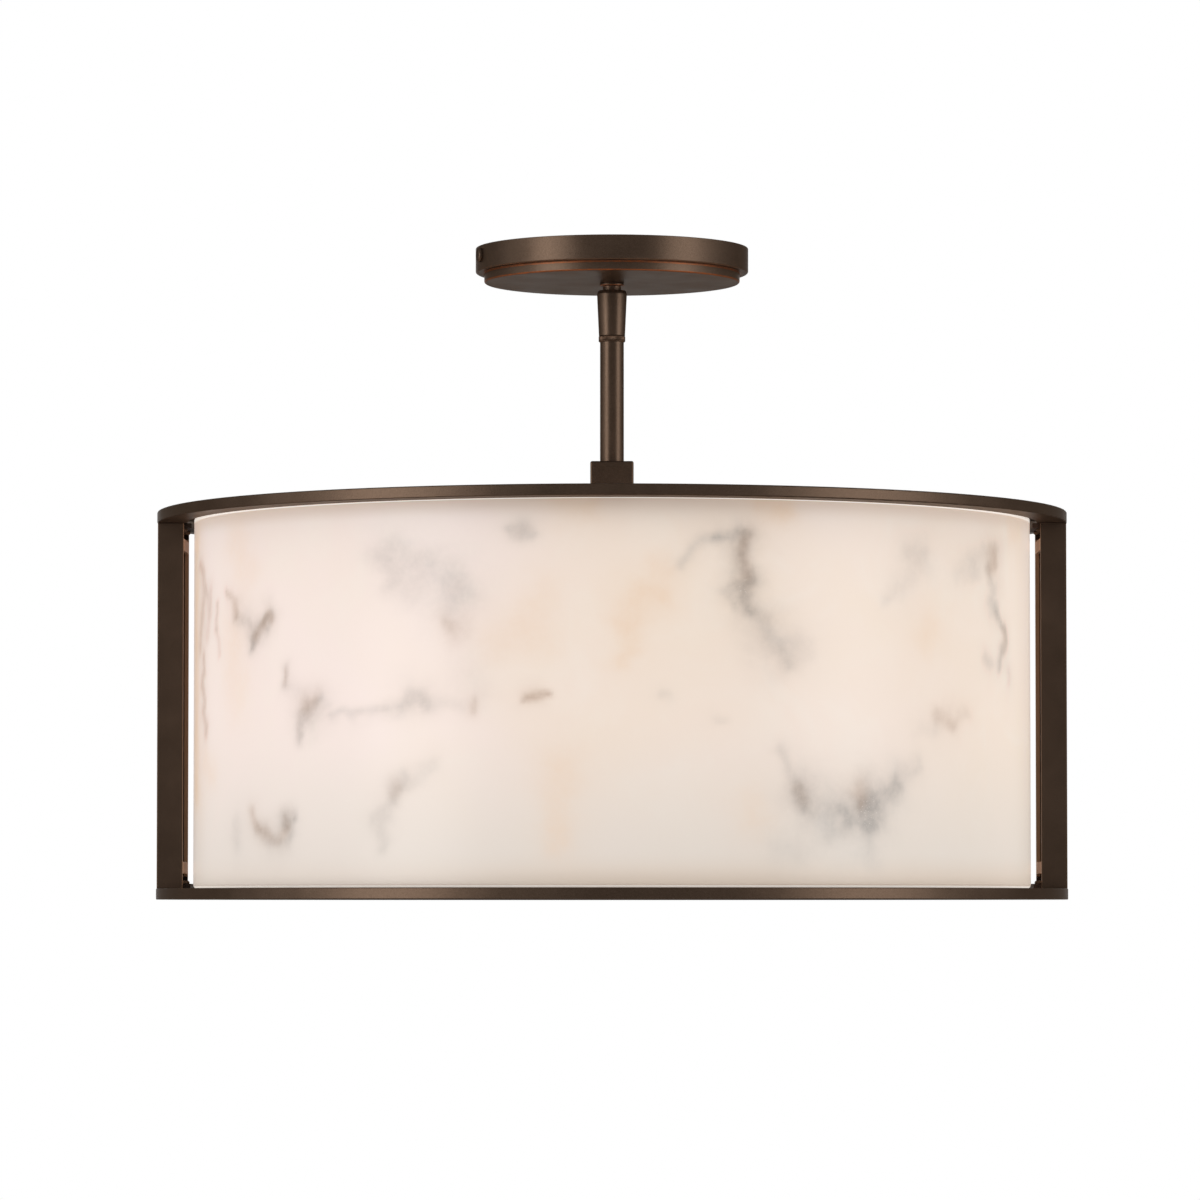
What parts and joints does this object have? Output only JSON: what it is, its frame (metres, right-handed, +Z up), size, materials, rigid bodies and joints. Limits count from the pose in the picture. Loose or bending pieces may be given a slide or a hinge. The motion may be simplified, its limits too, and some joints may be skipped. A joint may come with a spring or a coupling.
{
  "type": "semi flush ceiling light",
  "caption": "Drum ceiling light: veined alabaster-look shade between two bronze rings with channel uprights, on a short stem that swivels under a round stepped canopy.",
  "frame": {"origin": "centre of the ceiling plane, where the canopy's rim and the outlet box strap lie against the ceiling", "axes": "+Z up into the ceiling, X from upright to upright and along the outlet box strap, -Y to the front"},
  "size_m": [0.4572, 0.4572, 0.3282],
  "materials": {
    "bronze": "satin oil-rubbed bronze with copper showing at the edges",
    "alabaster": "polished cast faux alabaster with soft grey and brown veins",
    "zinc": "zinc plated steel",
    "brass": "plain brass",
    "plate_white": "white powder coat",
    "socket_white": "moulded white",
    "bulb_white": "satin white",
    "bulb_frost": "frosted translucent",
    "diffuser_frost": "frosted acrylic, satin",
    "lead_white": "insulation",
    "splice_grey": "moulded",
    "ground_green": "green plated"
  },
  "bodies": {
    "ceiling_mount": {"canopy": "bronze", "box_strap": "zinc", "canopy_strap": "zinc", "strap_eyelet": "zinc", "canopy_screws": "bronze", "ground_screw": "ground_green"},
    "swivel": {"swivel_neck": "bronze", "swivel_washer": "zinc", "swivel_nut": "zinc"},
    "gimbal": {"gimbal_ring": "zinc", "neck_pins": "zinc"},
    "lamp": {"sleeve_pins": "zinc", "swivel_sleeve": "bronze", "lock_ring": "bronze", "stem_tube": "bronze", "hub_block": "bronze", "hub_nipple": "zinc", "spider_bar_x": "bronze", "spider_bar_y": "bronze", "arm_screws": "bronze", "top_ring": "bronze", "bottom_ring": "bronze", "upright_left": "bronze", "upright_right": "bronze", "upright_screws": "bronze", "shade": "alabaster", "shade_clips": "bronze", "clip_rivets": "bronze", "wire_cup": "plate_white", "socket_plate": "plate_white", "plate_nut": "zinc", "socket_screws": "zinc", "stem_leads": "lead_white", "splice_caps": "splice_grey", "socket_leads": "lead_white", "rod_coupler": "zinc", "finial_rod": "zinc", "rod_nut": "zinc", "diffuser_washers": "zinc", "diffuser": "diffuser_frost", "finial": "bronze", "socket_body_1": "socket_white", "socket_liner_1": "brass", "socket_contact_1": "brass", "socket_body_2": "socket_white", "socket_liner_2": "brass", "socket_contact_2": "brass", "socket_body_3": "socket_white", "socket_liner_3": "brass", "socket_contact_3": "brass"},
    "bulb_1": {"bulb_base_1": "brass", "bulb_housing_1": "bulb_white", "bulb_dome_1": "bulb_frost"},
    "bulb_2": {"bulb_base_2": "brass", "bulb_housing_2": "bulb_white", "bulb_dome_2": "bulb_frost"},
    "bulb_3": {"bulb_base_3": "brass", "bulb_housing_3": "bulb_white", "bulb_dome_3": "bulb_frost"}
  },
  "joints": [
    {"name": "swivel_twist", "type": "hinge", "parent": "ceiling_mount", "child": "swivel", "pos_m": [0, 0, -0.0173], "axis": [0, 0, 1], "range_deg": [-170, 170]},
    {"name": "tilt_sideways", "type": "hinge", "parent": "swivel", "child": "gimbal", "pos_m": [0, 0, -0.0272], "axis": [0, 1, 0], "range_deg": [-10, 10]},
    {"name": "tilt_forwards", "type": "hinge", "parent": "gimbal", "child": "lamp", "pos_m": [0, 0, -0.0272], "axis": [1, 0, 0], "range_deg": [-10, 10]},
    {"name": "bulb_1_out", "type": "slide", "parent": "lamp", "child": "bulb_1", "axis": [0, 0, -1], "range_m": [0, 0.026]},
    {"name": "bulb_2_out", "type": "slide", "parent": "lamp", "child": "bulb_2", "axis": [0, 0, -1], "range_m": [0, 0.026]},
    {"name": "bulb_3_out", "type": "slide", "parent": "lamp", "child": "bulb_3", "axis": [0, 0, -1], "range_m": [0, 0.026]}
  ]
}
